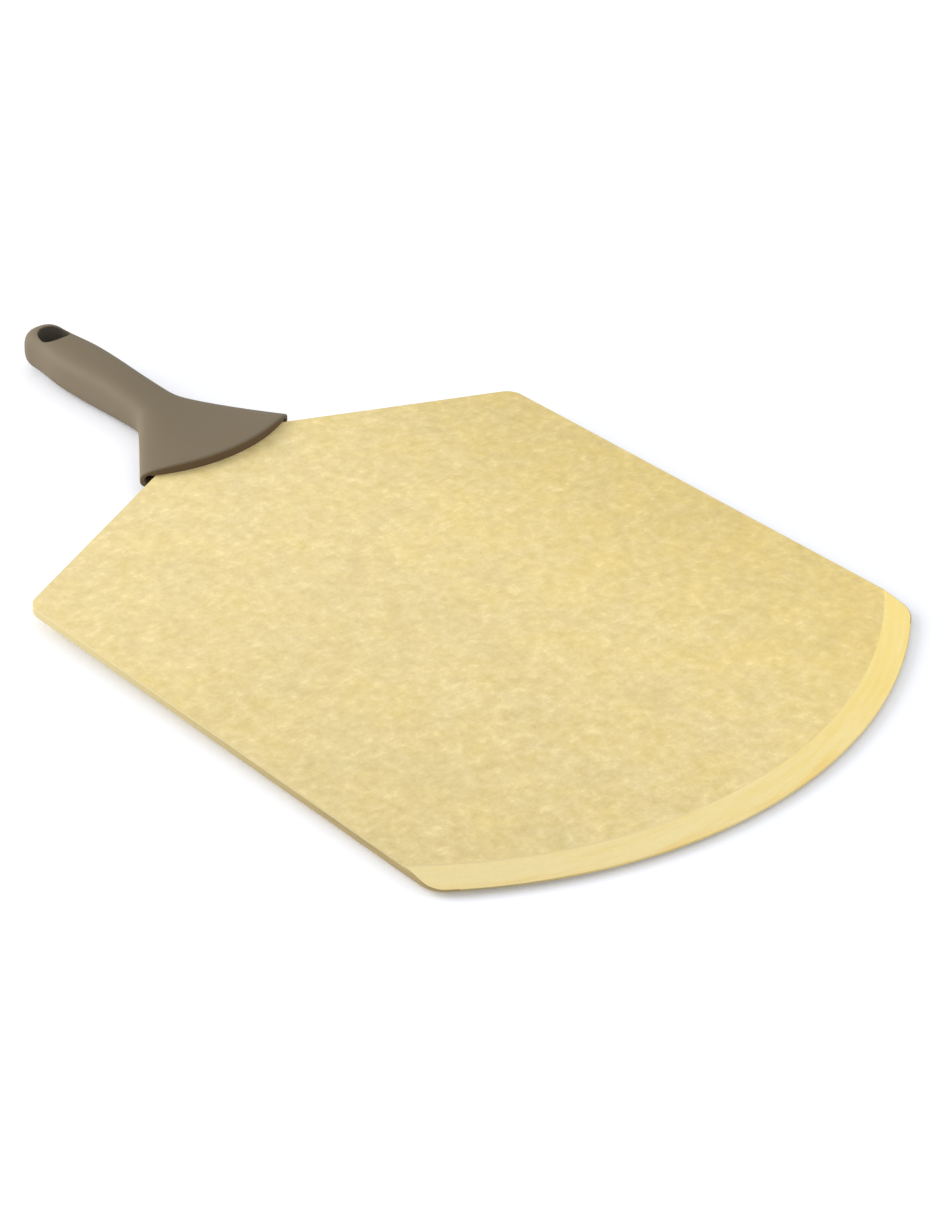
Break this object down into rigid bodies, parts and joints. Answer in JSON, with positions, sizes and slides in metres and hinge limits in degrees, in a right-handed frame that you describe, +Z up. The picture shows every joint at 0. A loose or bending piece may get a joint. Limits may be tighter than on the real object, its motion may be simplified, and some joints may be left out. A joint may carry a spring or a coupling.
{
  "type": "pizza serving board",
  "caption": "Flat wood-fibre pizza peel with a bevelled, arc-shaped front edge, sloped shoulders and a flared soft-skinned handle with a hanging hole.",
  "frame": {"origin": "centre of the front arc on the board's underside, which is also half-way along the overall length", "axes": "+Y along the length to the handle, +X across the width, +Z up out of the serving face"},
  "size_m": [0.3556, 0.5841, 0.0259],
  "materials": {
    "fibre_board": "pale pressed wood fibre, satin",
    "core_plastic": "moulded, matt dark grey",
    "screw_steel": "zinc-plated",
    "sleeve_rubber": "taupe soft-touch skin, fine matt texture"
  },
  "bodies": {
    "root": {"blade": "fibre_board", "core_upper": "core_plastic", "core_lower": "core_plastic", "core_screws": "screw_steel", "handle_sleeve": "sleeve_rubber"}
  },
  "joints": []
}
